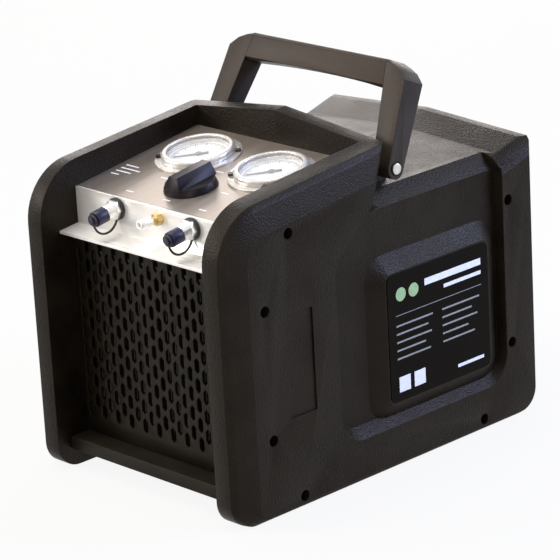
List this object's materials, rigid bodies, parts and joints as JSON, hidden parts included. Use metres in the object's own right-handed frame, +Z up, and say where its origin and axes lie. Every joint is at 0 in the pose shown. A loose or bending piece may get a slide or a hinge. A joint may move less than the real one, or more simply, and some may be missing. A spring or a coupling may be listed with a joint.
{
  "type": "refrigerant recovery machine",
  "caption": "Portable refrigerant recovery machine: moulded side shells, sloping gauge and selector panel, capped hose ports, slotted front grille and a fold-down carrying handle.",
  "frame": {"origin": "on the floor under the middle of the housing", "axes": "+Z up, -Y towards the front with the grille and the hose ports, +X towards the side with the label plate"},
  "size_m": [0.257, 0.385, 0.3496],
  "materials": {
    "shell": "grained charcoal-black moulding",
    "handle": "fine-grained dark moulding",
    "panel": "satin bronze-grey sheet",
    "bracket": "bright brushed stainless sheet",
    "tray": "black powder coat",
    "grille": "dark grey powder coat",
    "screw": "blackened",
    "bolt": "bright zinc plate",
    "nickel": "bright nickel plate",
    "relief_brass": "turned brass",
    "relief_cap": "grey moulding",
    "cap": "dark blue-black moulding",
    "strap": "soft black rubber",
    "gauge_metal": "polished case and flange",
    "dial": "white enamel face",
    "needle": "black enamel",
    "lens": "clear window",
    "knob": "satin black moulding",
    "label": "gloss black film",
    "valve_brass": "forged brass",
    "switch_can": "grey lacquer",
    "copper": "drawn copper",
    "coil": "bare fins",
    "shroud": "black powder coat",
    "fan": "black moulding",
    "motor": "dark grey enamel",
    "shaft": "ground",
    "casting": "sand cast",
    "can": "drawn can",
    "inlet": "black moulding",
    "rocker": "black moulding"
  },
  "bodies": {
    "housing": {"left_shell": "shell", "right_shell": "shell", "shell_screws": "screw", "base_tray": "tray", "control_panel": "panel", "port_bracket": "bracket", "front_grille": "grille", "inlet_port": "nickel", "outlet_port": "nickel", "inlet_strap": "strap", "outlet_strap": "strap", "relief_valve": "relief_brass", "relief_cap": "relief_cap", "gauge_case_left": "gauge_metal", "gauge_case_right": "gauge_metal", "gauge_dial_left": "dial", "gauge_dial_right": "dial", "gauge_lens_left": "lens", "gauge_lens_right": "lens", "gauge_bezel_left": "gauge_metal", "gauge_bezel_right": "gauge_metal", "gauge_screws": "screw", "valve_block": "valve_brass", "inlet_filter": "valve_brass", "outlet_check_valve": "valve_brass", "pressure_switch": "switch_can", "pivot_bolts": "bolt", "side_label": "label", "condenser_core": "coil", "condenser_bends": "copper", "fan_shroud": "shroud", "motor_body": "motor", "motor_mount": "tray", "crankcase": "casting", "cylinders": "casting", "cylinder_heads": "casting", "suction_tube": "copper", "discharge_tube": "copper", "run_capacitor": "can", "power_inlet": "inlet"},
    "handle": {"handle_arm_left": "handle", "handle_arm_right": "handle", "handle_grip": "handle"},
    "selector": {"selector_knob": "knob", "valve_stem": "shaft"},
    "needle_left": {"gauge_needle_left": "needle"},
    "needle_right": {"gauge_needle_right": "needle"},
    "rotor": {"motor_shaft": "shaft", "fan_rotor": "fan"},
    "inlet_closure": {"inlet_cap": "cap"},
    "outlet_closure": {"outlet_cap": "cap"},
    "rocker": {"power_rocker": "rocker"}
  },
  "joints": [
    {"name": "handle_fold", "type": "hinge", "parent": "housing", "child": "handle", "pos_m": [0, 0.024, 0.265], "axis": [-1, 0, 0], "range_deg": [-23.5, 57]},
    {"name": "selector_turn", "type": "hinge", "parent": "housing", "child": "selector", "pos_m": [0, -0.10744, 0.26006], "axis": [0, -0.1444, 0.9895], "range_deg": [-90, 90]},
    {"name": "low_side_needle", "type": "hinge", "parent": "housing", "child": "needle_left", "pos_m": [-0.046, -0.055, 0.26771], "axis": [0, 0.1444, -0.9895], "range_deg": [0, 270], "stiffness_Nm_per_rad": 0.00002},
    {"name": "high_side_needle", "type": "hinge", "parent": "housing", "child": "needle_right", "pos_m": [0.046, -0.055, 0.26771], "axis": [0, 0.1444, -0.9895], "range_deg": [0, 270], "stiffness_Nm_per_rad": 0.00002},
    {"name": "rotor_spin", "type": "hinge", "parent": "housing", "child": "rotor", "pos_m": [0, 0, 0.118], "axis": [0, 1, 0], "continuous": true},
    {"name": "inlet_cap_turn", "type": "hinge", "parent": "housing", "child": "inlet_closure", "pos_m": [-0.0475, -0.158, 0.2435], "axis": [0, -0.9848, -0.1736], "range_deg": [0, 720]},
    {"name": "outlet_cap_turn", "type": "hinge", "parent": "housing", "child": "outlet_closure", "pos_m": [0.0475, -0.158, 0.2435], "axis": [0, -0.9848, -0.1736], "range_deg": [0, 720]},
    {"name": "power_rock", "type": "hinge", "parent": "housing", "child": "rocker", "pos_m": [-0.06, 0.1845, 0.081], "axis": [-1, 0, 0], "range_deg": [0, 12]}
  ]
}
